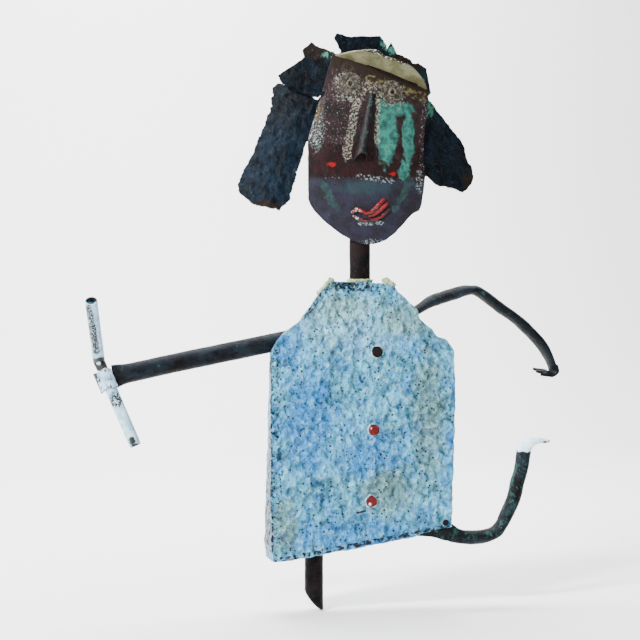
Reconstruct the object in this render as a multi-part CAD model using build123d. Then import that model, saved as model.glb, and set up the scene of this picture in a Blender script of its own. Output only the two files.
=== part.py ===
from build123d import *
import math
import os

# Scarecrow figure brazed from copper tube and sheet, in millimetres.
# The origin is on the axis of the standing leg, where the full round wall of its open foot begins.
# +Z is up, the figure faces -Y, and its left and right are those of a viewer standing in front of it.

# Stock
tube_radius = 11.1
tube_wall = 1.14
sheet = 1.5
hair_sheet = 1.4
stick_radius = 6.35
stick_wall = 1.0
crushed_gap = 0.8
oval_points = 16
running_gap = 0.1
inner_bead_radius = 3.5

# Dress: the front sheet leans back as it rises, and the back sheet is upright
front_y_at_zero = -34.4
front_slope = 0.0403
back_y = 11.6
side_lean = 6.0
lean_start_z = 80.0
lean_full_z = 250.0
dress_centre_x = 56.0

# Head
face_radius = 430.0
face_centre_x = 64.5
face_front_y = -10.7
neck_x = 56.8
neck_width = 25.4
neck_depth = 18.2
neck_low_z = 296.0
neck_top_z = 505.0
collar_z = 368.0
ring_width = 3.0
ring_height = 4.0

# Standing leg
leg_top_z = 150.0
foot_cut_slope_x = 0.92
foot_cut_slope_y = 0.60

# Face fittings
pad_radius = 14.0
pad_thickness = 1.0
eye_radius = 4.8
eye_wall = 1.9
eye_length = 5.4

eye_places = {"left": (42, 605), "right": (94.5, 597)}
upper_lip_path = [(45.5, 450.5), (54.5, 453), (64, 449.5), (74, 457), (83, 465.5)]
upper_lip_radius = 2.6
lower_lip_path = [(48, 444), (59.5, 442), (71.5, 443.5), (83, 449.5), (92, 457)]
lower_lip_radius = 2.3

# Buttons and rivet
button_radius = 6.6
button_height = 3.6
button_places = {"button_top": (72, 284), "button_middle": (67, 191), "button_bottom": (63, 106.5)}
stud_radius = 2.5
rivet_place = (155, 78.5)
rivet_radius = 2.0
rivet_head_radius = 3.7
leg_tab_y = -27.6
leg_tab_thickness = 3.4


# ---------- shared shapes ----------

def upright(x, z):
    return Vector(x, 0, z)


def outline_face(points):
    """A flat face in the XZ plane through the given (x, z) corners."""
    corners = [upright(x, z) for x, z in points]
    return make_face(Polyline(*corners, close=True))


def thick_outline(face, reach=150.0):
    """The outline carried both ways along Y, to cut sheets out of curved or tilted stock."""
    return extrude(face, amount=reach, dir=(0, 1, 0), both=True)


def tilted_stock(x_at, y_at, slope_x, thickness=hair_sheet, slope_z=0.0, z_at=560.0):
    """Flat sheet stock whose front face is y = y_at + slope_x (x - x_at) + slope_z (z - z_at)."""
    normal = Vector(slope_x, -1, slope_z)
    front = Plane(origin=(x_at, y_at, z_at), x_dir=Vector(1, slope_x, 0), z_dir=normal)
    return front * Box(700, 700, thickness, align=(Align.CENTER, Align.CENTER, Align.MAX))


def cylinder_between(start, end, radius):
    axis = Vector(*end) - Vector(*start)
    base = Plane(origin=start, z_dir=axis)
    return base * Cylinder(radius, axis.length, align=(Align.CENTER, Align.CENTER, Align.MIN))


def bead(points, radius):
    """A run of braze with round ends through the given points."""
    run = Part() + [Pos(*point) * Sphere(radius) for point in points]
    for start, end in zip(points, points[1:]):
        run += cylinder_between(start, end, radius)
    return run


def limb_directions(stations):
    """The run of the limb at each station, from its neighbours on both sides."""
    centres = [Vector(*station[:3]) for station in stations]
    last = len(centres) - 1
    return [(centres[min(i + 1, last)] - centres[max(i - 1, 0)]).normalized() for i in range(last + 1)]


def oval(half_across, half_depth):
    """A many-sided oval that always starts on the same side, so that lofts through it don't twist."""
    angles = [math.radians(step * 360 / oval_points) for step in range(oval_points)]
    ring = [(half_across * math.cos(angle), half_depth * math.sin(angle)) for angle in angles]
    return make_face(Polyline(*ring, close=True))


def limb_solid(stations, inset=0.0):
    """A loft through ovals: each station is x, y, z, size across the limb in the XZ plane, size in depth."""
    sections = []
    for station, run in zip(stations, limb_directions(stations)):
        across = Vector(-run.Z, 0, run.X)
        place = Plane(origin=station[:3], x_dir=across, z_dir=run)
        half_across = max(station[3] / 2 - inset, crushed_gap / 2)
        half_depth = max(station[4] / 2 - inset, crushed_gap / 2)
        sections.append(place * oval(half_across, half_depth))
    return loft(sections, ruled=True)


# ---------- dress ----------

def front_y(z):
    return front_y_at_zero + front_slope * z


dress_outline = [
    (29, 368), (16, 368), (5, 356), (-12, 334), (-22, 320), (-41, 307), (-50, 297), (-57, 284),
    (-58, 170), (-58, 59), (-56, 39), (-36, 40), (36, 50), (73, 56), (113, 62), (129, 67), (148, 71),
    (163, 73), (164, 105), (168, 177), (170, 225), (169, 286), (160, 298), (147, 303), (141, 311),
    (131, 318), (126, 324), (124, 333), (101, 354), (94, 363), (79, 366),
]
hem_corners = {(-56, 39), (-36, 40), (36, 50), (73, 56), (113, 62), (129, 67), (148, 71), (163, 73)}
hem_run_out = 14.0


def lean_in(x, z):
    """The back edge of the body lies inside its front edge, by more at the waist than at the hem."""
    share = min(max((z - lean_start_z) / (lean_full_z - lean_start_z), 0), 1)
    return x + math.copysign(side_lean * share, dress_centre_x - x)


def inset_corner(before, corner, after, distance):
    """The corner of a parallel outline, the distance inside an outline that runs anticlockwise."""
    edge_in = Vector(corner[0] - before[0], corner[1] - before[1]).normalized()
    edge_out = Vector(after[0] - corner[0], after[1] - corner[1]).normalized()
    normal_in = Vector(-edge_in.Y, edge_in.X)
    normal_out = Vector(-edge_out.Y, edge_out.X)
    middle = (normal_in + normal_out).normalized()
    reach = distance / middle.dot(normal_in)
    return corner[0] + middle.X * reach, corner[1] + middle.Y * reach


def inset_outline(points, distance):
    count = len(points)
    return [
        inset_corner(points[i - 1], points[i], points[(i + 1) % count], distance)
        for i in range(count)
    ]


def body_block(points, front_gap, back_place):
    """A block between the leaning front plane and an upright back plane."""
    front = [(x, front_y(z) + front_gap, z) for x, z in points]
    back = [(lean_in(x, z), back_place, z) for x, z in points]
    faces = [make_face(Polyline(*corners, close=True)) for corners in (front, back)]
    return loft(faces, ruled=True)


def dress_front():
    """The front sheet with its side, shoulder and collar flanges: open at the back and at the hem."""
    inner = inset_outline(dress_outline, sheet)
    hollow = [
        (x, z - hem_run_out) if corner in hem_corners else (x, z)
        for corner, (x, z) in zip(dress_outline, inner)
    ]
    shell = body_block(dress_outline, 0, back_y) - body_block(hollow, sheet, back_y + 1)
    shell -= neck_block(running_gap)
    for run in (left_arm_run, right_arm_run, kicking_leg_run):
        shell -= limb_solid(run, -running_gap)
    for x, z in button_places.values():
        shell -= front_pin(x, z, stud_radius, -8, 12)
    shell -= front_pin(*rivet_place, rivet_radius, -8, 12)
    return shell


def dress_back():
    outline = outline_face([(lean_in(x, z), z) for x, z in dress_outline])
    return Pos(0, back_y, 0) * extrude(outline, amount=sheet, dir=(0, 1, 0))


# ---------- studs and rivet, square to the dress front ----------

def on_front(x, z):
    return Plane(origin=(x, front_y(z), z), x_dir=(1, 0, 0), z_dir=(0, -1, front_slope))


def front_pin(x, z, radius, low, high):
    """A cylinder square to the dress front, between two heights above its outer face."""
    body = Cylinder(radius, high - low, align=(Align.CENTER, Align.CENTER, Align.MIN))
    return on_front(x, z) * Pos(0, 0, low) * body


def button(x, z):
    head = fillet(Cylinder(button_radius, button_height).faces().sort_by(Axis.Z)[-1].edges(), 1.4)
    head = on_front(x, z) * Pos(0, 0, button_height / 2) * head
    shank = front_pin(x, z, stud_radius, -sheet - 1.5, 0)
    tail = front_pin(x, z, stud_radius + 2, -sheet - 1.5, -sheet)
    return head + shank + tail


def hem_rivet():
    x, z = rivet_place
    tab_back = front_y(z) - (leg_tab_y + leg_tab_thickness / 2)
    head = front_pin(x, z, rivet_head_radius, 0, 1.8)
    shank = front_pin(x, z, rivet_radius, tab_back - 0.2, 0)
    tail = front_pin(x, z, rivet_head_radius - 0.6, tab_back - 1.8, tab_back - 0.2)
    return head + shank + tail


# ---------- neck ----------

def neck_block(growth=0.0, low=neck_low_z, high=neck_top_z):
    section = Ellipse(neck_width / 2 + growth, neck_depth / 2 + growth)
    return Pos(neck_x, 0, low) * extrude(section, amount=high - low)


def neck_tube():
    return neck_block() - neck_block(-tube_wall, neck_low_z - 1, neck_top_z + 1)


def neck_braze_ring(dress):
    outer = Ellipse(neck_width / 2 + ring_width, neck_depth / 2 + ring_width)
    ring = extrude(outer, amount=ring_height)
    ring = fillet(ring.faces().sort_by(Axis.Z)[-1].edges(), ring_width / 2)
    return Pos(neck_x, 0, collar_z - 1) * ring - neck_block() - dress


# The two lumps of weld at the collar's corners: path and radius
collar_weld_left = [(17, -17, 369), (10, -16, 361), (4, -15, 354)], 3.4
collar_weld_right = [(84, -17, 369), (93, -16, 364)], 3.8


def dress_envelope():
    return body_block(dress_outline, 0, back_y + sheet)


# ---------- limbs ----------

left_arm_run = [
    (-16, 0, 302, 22.2, 22.2), (-85, -8, 288.5, 22.2, 22.2), (-155, -16, 275, 22.2, 22.2),
    (-222, -24, 261.5, 22.2, 22.2), (-232, -25, 259.5, 24.5, 16), (-241, -28, 257, 28, 4.4),
]
stick_top = (-270, -85, 343)
stick_bend = (-257, -25, 275)
stick_end = (-218, -50, 180)
hand_middle = 0.23
hand_length = 26.0
hand_wall = 2.2
hand_slot_start = 205
hand_slot_end = 300

right_arm_run = [
    (98, -1, 316, 11, 23), (114, -1, 326, 11, 23), (130, -1, 335, 11, 24), (145, -1, 344, 14, 25),
    (164, -1, 350, 15.5, 25), (183, -2, 356, 14.5, 25), (199, -3, 359, 13, 25), (215, -4, 353, 13.5, 25),
    (234, -5, 338, 14.5, 25), (249, -6, 328, 14.5, 25), (266, -7, 315, 15, 25), (281, -8, 302, 15, 26),
    (291, -9, 290, 13.5, 27), (299, -10, 275, 8.5, 29), (303.5, -10, 262, 3.4, 30),
]
right_hand_outline = [(0, -14), (0, 14), (-20, 13), (-18, 5), (-28, 1), (-22, -4), (-24, -13)]

kicking_leg_run = [
    (116, leg_tab_y, 69, 24, leg_tab_thickness), (140, leg_tab_y, 69, 28, leg_tab_thickness),
    (158, leg_tab_y, 68, 28, leg_tab_thickness), (170, -24, 61.5, 20, 13), (182, -20, 58.5, 17, 21),
    (196, -18, 57.5, 17, 25), (212, -17, 59, 16, 25), (224, -16, 63.5, 14.5, 25), (232, -16, 73, 14, 25),
    (238, -16, 84, 15, 25), (247, -16, 102, 16, 25), (252, -16, 121, 16, 25), (257, -16, 138, 15.5, 25),
    (260, -16, 156, 16, 26), (262.5, -16, 165, 15, 27), (267, -16, 170.5, 11, 28), (274, -16, 173.4, 7, 28),
    (281, -16, 174.2, 4.8, 27), (290, -16, 173.3, 2.6, 24),
]


def stick_block(radius):
    return bead([stick_top, stick_bend, stick_end], radius) - end_caps(radius)


def end_caps(radius):
    """What lies past the square ends of the stick."""
    caps = Part()
    for end in (stick_top, stick_end):
        away = (Vector(*end) - Vector(*stick_bend)).normalized()
        caps += cylinder_between(end, Vector(*end) + away * 3 * radius, 2 * radius)
    return caps


def stick_tube():
    return stick_block(stick_radius) - bead([stick_top, stick_bend, stick_end], stick_radius - stick_wall)


def hand_sleeve():
    """The rolled strip round the stick, open at its back left, with its free edge turned out."""
    bend = Vector(*stick_bend)
    run = (Vector(*stick_end) - bend).normalized()
    middle = bend + (Vector(*stick_end) - bend) * hand_middle
    place = Plane(origin=middle - run * hand_length / 2, x_dir=Vector(-run.Z, 0, run.X), z_dir=run)
    bore = stick_radius + running_gap
    outer = bore + hand_wall
    mouth = Polyline(
        (0, 0),
        polar(3 * outer, hand_slot_start),
        polar(3 * outer, hand_slot_end),
        close=True,
    )
    ring = Circle(outer) - Circle(bore) - make_face(mouth)
    lip_start = hand_slot_start - 12
    lip = make_face(Polyline(
        polar(bore, lip_start),
        polar(outer, lip_start),
        polar(outer + 5, lip_start + 9),
        polar(outer + 3.6, lip_start + 15),
        close=True,
    ))
    return place * extrude(ring + lip, amount=hand_length)


def polar(radius, degrees):
    return radius * math.cos(math.radians(degrees)), radius * math.sin(math.radians(degrees))


def left_arm_tube():
    outer = limb_solid(left_arm_run)
    hollow = limb_solid([(-14, 0, 302.4, 22.2, 22.2)] + left_arm_run[1:], tube_wall)
    arm = outer - hollow + hand_sleeve()
    return arm - bead([stick_top, stick_bend, stick_end], stick_radius + running_gap)


def right_arm_tube():
    wrist = right_arm_run[-1]
    hollow = limb_solid(right_arm_run[:-1], tube_wall)
    palm = Plane(origin=(wrist[0] + 1.6, wrist[1], wrist[2] - 3), x_dir=(1, 0, 0), z_dir=(0, 0.2, 1))
    strip = palm * extrude(make_face(Polyline(*right_hand_outline, close=True)), amount=2.8)
    return limb_solid(right_arm_run) - hollow + strip


def kicking_leg_tube():
    hollow = limb_solid(kicking_leg_run[2:-4], tube_wall)
    leg = limb_solid(kicking_leg_run) - hollow
    return leg - front_pin(*rivet_place, rivet_radius, -12, 12)


def standing_leg_tube():
    """A round tube, cut obliquely so that its front right edge is the lowest point of the foot."""
    steepness = math.hypot(foot_cut_slope_x, foot_cut_slope_y)
    low_end = -2 * tube_radius * steepness
    foot = (0, 0, low_end)
    top = (0, 0, leg_top_z)
    tube = cylinder_between(foot, top, tube_radius) - cylinder_between(foot, top, tube_radius - tube_wall)
    cut = Plane(
        origin=(0, 0, -tube_radius * steepness),
        z_dir=Vector(-foot_cut_slope_x, foot_cut_slope_y, -1),
    )
    waste = cut * Cylinder(6 * tube_radius, 60, align=(Align.CENTER, Align.CENTER, Align.MIN))
    return tube - waste


# ---------- braze inside the dress, between the tubes and the back sheet ----------

def inner_braze(low, high, half_gap, tube):
    """Two beads along a tube, one on each side of it, in its corners with the back sheet."""
    run = Vector(*high) - Vector(*low)
    across = Vector(run.Z, 0, -run.X).normalized() * half_gap
    beads = []
    for side in (-1, 1):
        start = Vector(*low) + across * side
        end = Vector(*high) + across * side
        beads.append(bead([start, end], inner_bead_radius) - tube)
    beyond = Pos(0, back_y + 50, 0) * Box(900, 100, 1500)
    return Compound(children=[run - beyond for run in beads])


# ---------- face ----------

def face_bend(radius):
    """The upright cylinder that the mask is bent to, its front line at the middle of the face."""
    return Pos(face_centre_x, face_front_y + face_radius, 520) * Cylinder(radius, 500)


def on_face(x, z, lift=0.0):
    """A point on the front of the mask, or the lift in front of it."""
    reach = face_radius + lift
    return x, face_front_y + face_radius - math.sqrt(reach ** 2 - (x - face_centre_x) ** 2), z


def face_plate():
    chin = Spline(
        upright(-8, 471), upright(1, 451), upright(30, 426), upright(67, 413), upright(96, 425),
        upright(123, 452), upright(138, 495),
        tangents=[(0, 0, -1), (0.12, 0, 1)],
    )
    rest = Polyline(
        upright(138, 495), upright(136, 517), upright(136, 541), upright(142, 590), upright(142, 604),
        upright(130, 610), upright(92, 621), upright(54, 636), upright(38, 641), upright(21, 640),
        upright(14, 615), upright(-2, 555), upright(-8, 535), upright(-8, 471),
    )
    blank = face_bend(face_radius) - face_bend(face_radius - sheet)
    return thick_outline(make_face(chin + rest)) & blank


nose_top = (69, 594)
nose_end = (55, 508)
nose_top_radius = 3.2
nose_end_radius = 11.0
nose_wall = 1.2


def nose_channel():
    """A tapered half-channel on the mask, cut at a slant so that its open end looks down and forward."""
    def taper(wall):
        ends = [(nose_top, nose_top_radius), (nose_end, nose_end_radius)]
        return loft([Pos(*on_face(*place)) * Circle(radius - wall) for place, radius in ends])

    channel = taper(0) - taper(nose_wall) - face_bend(face_radius)
    x, y, z = on_face(*nose_end)
    slant = Plane(origin=(x, y, z + 4), z_dir=(0, -1, -0.9))
    return channel - slant * Box(80, 80, 40, align=(Align.CENTER, Align.CENTER, Align.MIN))


def eye_pad(x, z):
    pad = Pos(x, 0, z) * Rot(90, 0, 0) * (Cylinder(pad_radius, 120) - Cylinder(eye_radius, 120))
    return pad & (face_bend(face_radius + pad_thickness) - face_bend(face_radius))


def eye_ring(x, z):
    y = on_face(x, z)[1]
    ring = Cylinder(eye_radius, eye_length) - Cylinder(eye_radius - eye_wall, eye_length)
    return Pos(x, y - eye_length / 3, z) * Rot(90, 0, 0) * ring - face_bend(face_radius)


def lip(points, radius):
    return bead([on_face(x, z, 0.6) for x, z in points], radius) - face_bend(face_radius)


# ---------- visor ----------

visor_left = (24, -8.8, 638)
visor_right = (140, -4, 602)
visor_tilt = 25.0
visor_rim = [(0, 0), (4, 6), (14, 17), (27, 29), (38, 36), (53, 31), (71, 33), (88, 30), (107, 18), (121, 2)]


def visor_plane():
    """Its X runs along the forehead, its Y forwards and upwards, and its normal downwards."""
    run = (Vector(*visor_right) - Vector(*visor_left)).normalized()
    rise = Vector(-run.Z, 0, run.X).normalized()
    forward = (Vector(0, -1, 0) + run * run.Y).normalized()
    tilt = math.radians(visor_tilt)
    out = forward * math.cos(tilt) + rise * math.sin(tilt)
    return Plane(origin=visor_left, x_dir=run, z_dir=run.cross(out))


def visor_plate():
    length = (Vector(*visor_right) - Vector(*visor_left)).length
    outline = make_face(Polyline(*visor_rim, (length, -8), (0, -8), close=True))
    return visor_plane() * extrude(outline, amount=-sheet) - face_bend(face_radius)


def visor_weld():
    places = [(30, 639.5), (54, 633.5), (92, 618), (126, 608)]
    run = bead([on_face(x, z, 0.4) for x, z in places], 2.2)
    return run - face_bend(face_radius) - visor_plate()


# ---------- hair: flat cuts of sheet, each swept back at its own angle ----------

left_upper_stock = tilted_stock(26, -7.2, -0.12)
left_small_stock = tilted_stock(26, -5.5, -0.12)
left_long_stock = tilted_stock(-10, 1.0, -0.25)
top_stock = tilted_stock(60, -5.5, 0)
spike_stock = tilted_stock(90, -3.9, 0)
band_stock = tilted_stock(68, -8.8, 0.0915)
right_lobe_stock = tilted_stock(125, -4.0, 0.25)

hair_pieces = {
    "hair_left_long": (left_long_stock, [
        (-42, 606), (-48, 601), (-50, 580), (-63, 541), (-75, 514), (-86, 493), (-90, 485), (-85, 472),
        (-69, 460), (-51, 456), (-40, 454), (-29, 467), (-25, 480), (-16, 514), (-11, 532), (-3, 542),
        (7, 552), (13, 590), (4, 586), (-16, 600),
    ]),
    "hair_left_upper": (left_upper_stock, [
        (-44, 614), (-29, 624), (-13, 635), (4, 641), (22, 644), (30, 634), (16, 597), (4, 588),
        (-17, 594), (-38, 604),
    ]),
    "hair_left_small": (left_small_stock, [
        (-14, 645), (-3, 655), (1, 651), (21, 643), (21, 631), (-10, 631),
    ]),
    "hair_top_tall": (top_stock, [
        (23, 661), (27, 666), (43, 663), (81, 665), (89, 654), (88, 634), (32, 632), (32, 646),
    ]),
    "hair_top_spike": (spike_stock, [(95, 659), (102, 646), (99, 632), (86, 632), (90, 651)]),
    "hair_right_band": (band_stock, [
        (70, 647), (86, 648), (102, 645), (119, 638), (123, 634), (129, 635), (140, 628), (144, 609),
        (146, 600), (142, 593), (129, 599), (106, 608), (86, 614), (70, 621),
    ]),
    "hair_right_lobe": (right_lobe_stock, [
        (144, 592), (160, 574), (181, 553), (194, 539), (197, 523), (204, 514), (208, 502), (205, 492),
        (198, 484), (191, 480), (181, 484), (167, 486), (156, 487), (142, 497), (127, 502), (127, 585),
    ]),
}


def hair_piece(stock, outline):
    return thick_outline(outline_face(outline)) & stock


# Each bead of hair braze: its path, its radius and the hair that it joins to the mask
hair_beads = {
    "hair_braze_left": ([(7, -4.2, 579), (4, -3.9, 557)], 2.1, ["hair_left_long", "hair_left_upper"]),
    "hair_braze_top": ([(40, -7.0, 636), (58, -7.3, 633)], 2.2, ["hair_top_tall"]),
    "hair_braze_right": ([(131, -3.0, 568), (131, -3.0, 512)], 1.7, ["hair_right_lobe"]),
}


def braze_between(points, radius, neighbours):
    """A bead that fills the gap between neighbouring sheets and stops at their faces."""
    run = bead(points, radius)
    for neighbour in neighbours:
        run -= neighbour
    return run


def neck_face_braze():
    """One bead on each side of the neck, in the corner between the tube and the back of the mask."""
    sides = [neck_x - 9.5, neck_x + 9.5]
    beads = [bead([(x, -8.0, 440), (x, -8.0, 492)], 2.2) for x in sides]
    behind_face = face_bend(face_radius - sheet)
    return Compound(children=[(run & behind_face) - neck_block() for run in beads])


# ---------- the whole figure ----------

os.makedirs("parts", exist_ok=True)

face = face_plate()
nodes = {name: hair_piece(*spec) for name, spec in hair_pieces.items()}
for name, (path, radius, joined) in hair_beads.items():
    nodes[name] = braze_between(path, radius, [face] + [nodes[hair] for hair in joined])

nodes["face_plate"] = face
nodes["nose_channel"] = nose_channel()
for side, place in eye_places.items():
    nodes[f"eye_pad_{side}"] = eye_pad(*place)
    nodes[f"eye_ring_{side}"] = eye_ring(*place)
nodes["upper_lip"] = lip(upper_lip_path, upper_lip_radius)
nodes["lower_lip"] = lip(lower_lip_path, lower_lip_radius)
nodes["visor_plate"] = visor_plate()
nodes["visor_weld"] = visor_weld()

nodes["neck_tube"] = neck_tube()
nodes["neck_face_braze"] = neck_face_braze()
nodes["dress_front"] = dress_front()
nodes["neck_braze_ring"] = neck_braze_ring(nodes["dress_front"])
nodes["dress_back"] = dress_back()
nodes["collar_weld_left"] = bead(*collar_weld_left) - dress_envelope()
nodes["collar_weld_right"] = bead(*collar_weld_right) - dress_envelope()
for name, place in button_places.items():
    nodes[name] = button(*place)
nodes["hem_rivet"] = hem_rivet()

nodes["left_arm_tube"] = left_arm_tube()
nodes["stick_tube"] = stick_tube()
nodes["right_arm_tube"] = right_arm_tube()
nodes["standing_leg_tube"] = standing_leg_tube()
nodes["kicking_leg_tube"] = kicking_leg_tube()

leg_block = Pos(0, 0, leg_top_z / 2) * Cylinder(tube_radius, leg_top_z)
bead_y = back_y - 2
nodes["neck_inner_braze"] = inner_braze((neck_x, bead_y, 302), (neck_x, bead_y, 335), 10.0, neck_block())
nodes["left_arm_inner_braze"] = inner_braze(
    (-10, bead_y, 303), (-19, bead_y, 301.2), 7.6, limb_solid(left_arm_run)
)
nodes["right_arm_inner_braze"] = inner_braze(
    (101, bead_y, 318), (113, bead_y, 325.5), 4.8, limb_solid(right_arm_run)
)
nodes["standing_leg_inner_braze"] = inner_braze((0, bead_y, 108), (0, bead_y, 144), 8.0, leg_block)

for name, shape in nodes.items():
    export_step(shape, f"parts/{name}.step")
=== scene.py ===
import math

import bmesh
import bpy
from mathutils import Matrix, Vector, noise


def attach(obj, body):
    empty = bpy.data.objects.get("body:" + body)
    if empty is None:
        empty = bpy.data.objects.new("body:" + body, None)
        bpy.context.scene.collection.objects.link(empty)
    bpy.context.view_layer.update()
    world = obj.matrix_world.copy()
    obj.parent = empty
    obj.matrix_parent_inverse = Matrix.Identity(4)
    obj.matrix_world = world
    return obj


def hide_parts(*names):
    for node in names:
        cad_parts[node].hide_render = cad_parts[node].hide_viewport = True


# The looks of the brazed copper scarecrow figure. Shapes are worked out in millimetres in the row frame,
# and each finished mesh is scaled to metres. The figure faces -Y, and left and right are the viewer's.

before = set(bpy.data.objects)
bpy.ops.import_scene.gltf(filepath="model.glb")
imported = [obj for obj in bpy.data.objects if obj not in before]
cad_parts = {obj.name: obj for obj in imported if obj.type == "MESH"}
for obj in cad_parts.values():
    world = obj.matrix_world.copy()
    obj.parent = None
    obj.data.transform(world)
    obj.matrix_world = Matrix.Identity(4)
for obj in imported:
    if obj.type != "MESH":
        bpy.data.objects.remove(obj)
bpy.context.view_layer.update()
COARSE = 1.0
TO_METRES = 0.001


# ---------- noise ----------

def rough(point, size, octaves=3, seed=0):
    """Fractal noise, about -1 to 1, whose lumps are about that many millimetres across."""
    shift = Vector((seed * 7.13, seed * 3.71, seed * 5.39))
    return noise.fractal(Vector(point) / size + shift, 0.9, 2.1, octaves)


def hammered(point, size, seed=0):
    """Rounded dents that meet in ridges, from 0 in a dent's middle to about 1 on a ridge."""
    shift = Vector((seed * 9.17, seed * 2.83, seed * 6.61))
    return noise.voronoi(Vector(point) / size + shift)[0][0]


def ramp(value, low, high):
    """A smooth step from 0 at low to 1 at high, either way round."""
    share = min(max((value - low) / (high - low), 0.0), 1.0)
    return share * share * (3 - 2 * share)


# ---------- meshes ----------

def copy_of(node):
    """The CAD node's mesh, in millimetres, with its seams closed."""
    mesh = bmesh.new()
    mesh.from_mesh(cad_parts[node].data)
    bmesh.ops.scale(mesh, vec=(1 / TO_METRES,) * 3, verts=mesh.verts)
    bmesh.ops.remove_doubles(mesh, verts=mesh.verts, dist=0.004)
    return mesh


def cut_fine(mesh, steps):
    """Cuts the mesh on a grid with a step for each axis, so that it can be bent and dented."""
    for axis, step in enumerate(steps):
        if not step:
            continue
        places = [v.co[axis] for v in mesh.verts]
        place = min(places) + step * COARSE / 2
        normal = Vector((0, 0, 0))
        normal[axis] = 1
        while place < max(places):
            origin = normal * place
            geometry = mesh.verts[:] + mesh.edges[:] + mesh.faces[:]
            bmesh.ops.bisect_plane(mesh, geom=geometry, dist=0.0001, plane_co=origin, plane_no=normal)
            place += step * COARSE
    return mesh


def warp(mesh, shift):
    """Moves every corner by shift(point), given from its first place."""
    moves = [Vector(shift(v.co)) for v in mesh.verts]
    for v, move in zip(mesh.verts, moves):
        v.co += move
    return mesh


def add_piece(mesh, name, material, nodes=(), crease=38):
    """The finished mesh as an object that rides on the figure's one body."""
    bmesh.ops.recalc_face_normals(mesh, faces=mesh.faces)
    bmesh.ops.scale(mesh, vec=(TO_METRES,) * 3, verts=mesh.verts)
    data = bpy.data.meshes.new(name)
    mesh.to_mesh(data)
    mesh.free()
    data.polygons.foreach_set("use_smooth", [True] * len(data.polygons))
    data.set_sharp_from_angle(angle=math.radians(crease))
    obj = bpy.data.objects.new(name, data)
    bpy.context.collection.objects.link(obj)
    data.materials.append(material)
    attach(obj, "root")
    if nodes:
        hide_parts(*nodes)
    return obj


def remeshed(mesh, voxel):
    """The same solid with one even skin, so that overlapping blobs flow together."""
    data = bpy.data.meshes.new("blob")
    mesh.to_mesh(data)
    mesh.free()
    obj = bpy.data.objects.new("blob", data)
    bpy.context.collection.objects.link(obj)
    remesh = obj.modifiers.new("even", "REMESH")
    remesh.mode = "VOXEL"
    remesh.voxel_size = voxel * 1.0
    shown = obj.evaluated_get(bpy.context.evaluated_depsgraph_get())
    result = bmesh.new()
    result.from_mesh(shown.to_mesh())
    shown.to_mesh_clear()
    bpy.data.objects.remove(obj)
    bpy.data.meshes.remove(data)
    return result


def swell(mesh, amount):
    """Moves every corner along its normal by amount(point)."""
    mesh.normal_update()
    moves = [v.normal * amount(v.co) for v in mesh.verts]
    for v, move in zip(mesh.verts, moves):
        v.co += move
    return mesh


def bead_mesh(points, radii, voxel=0.45):
    """A run of braze or thick paint: round blobs close together along a path, flowed into one."""
    mesh = bmesh.new()
    for start, end, first, last in zip(points, points[1:], radii, radii[1:]):
        span = Vector(end) - Vector(start)
        count = max(int(span.length / (0.4 * min(first, last))), 1)
        for step in range(count + 1):
            share = step / count
            place = Vector(start) + span * share
            radius = first + (last - first) * share
            bmesh.ops.create_icosphere(
                mesh, subdivisions=2, radius=radius, matrix=Matrix.Translation(place)
            )
    return remeshed(mesh, voxel)


# ---------- swept tubes ----------

def smooth_between(stations, step):
    """Points along a smooth curve through the stations, which may carry sizes as well as places."""
    rows = [tuple(float(value) for value in station) for station in stations]
    rows = [rows[0]] + rows + [rows[-1]]
    result = []
    for before, start, end, after in zip(rows, rows[1:], rows[2:], rows[3:]):
        gap = (Vector(end[:3]) - Vector(start[:3])).length
        count = max(int(gap / (step * COARSE)), 1)
        for index in range(count):
            t = index / count
            result.append([
                0.5 * (2 * b + (c - a) * t + (2 * a - 5 * b + 4 * c - d) * t * t
                       + (3 * b - a - 3 * c + d) * t ** 3)
                for a, b, c, d in zip(before, start, end, after)
            ])
    result.append(list(rows[-1]))
    return result


def tube(stations, wall, dent, step=1.8, sides=44):
    """An open tube of oval section with a real wall.

    dent(point, angle, share) is how far in the skin is pushed.
    """
    rows = smooth_between(stations, step)
    centres = [Vector(row[:3]) for row in rows]
    last = len(rows) - 1
    mesh = bmesh.new()
    skins = {"outer": [], "inner": []}
    for index, row in enumerate(rows):
        run = (centres[min(index + 1, last)] - centres[max(index - 1, 0)]).normalized()
        across = Vector((-run.z, 0, run.x)).normalized()
        depth = run.cross(across)
        rings = {"outer": [], "inner": []}
        for side in range(sides):
            angle = 2 * math.pi * side / sides
            ray = across * math.cos(angle) * row[3] / 2 + depth * math.sin(angle) * row[4] / 2
            point = centres[index] + ray
            push = dent(point, angle, index / last)
            inward = -ray.normalized()
            outer = point + inward * push
            half = min(ray.length - push - 0.35, wall)
            rings["outer"].append(mesh.verts.new(outer))
            rings["inner"].append(mesh.verts.new(outer + inward * max(half, 0.3)))
        for skin, ring in rings.items():
            skins[skin].append(ring)
    for skin, rings in skins.items():
        for ring, following in zip(rings, rings[1:]):
            for side in range(sides):
                after = (side + 1) % sides
                mesh.faces.new((ring[side], ring[after], following[after], following[side]))
    for end in (0, last):
        outer, inner = skins["outer"][end], skins["inner"][end]
        for side in range(sides):
            after = (side + 1) % sides
            mesh.faces.new((outer[side], outer[after], inner[after], inner[side]))
    return mesh


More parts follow.
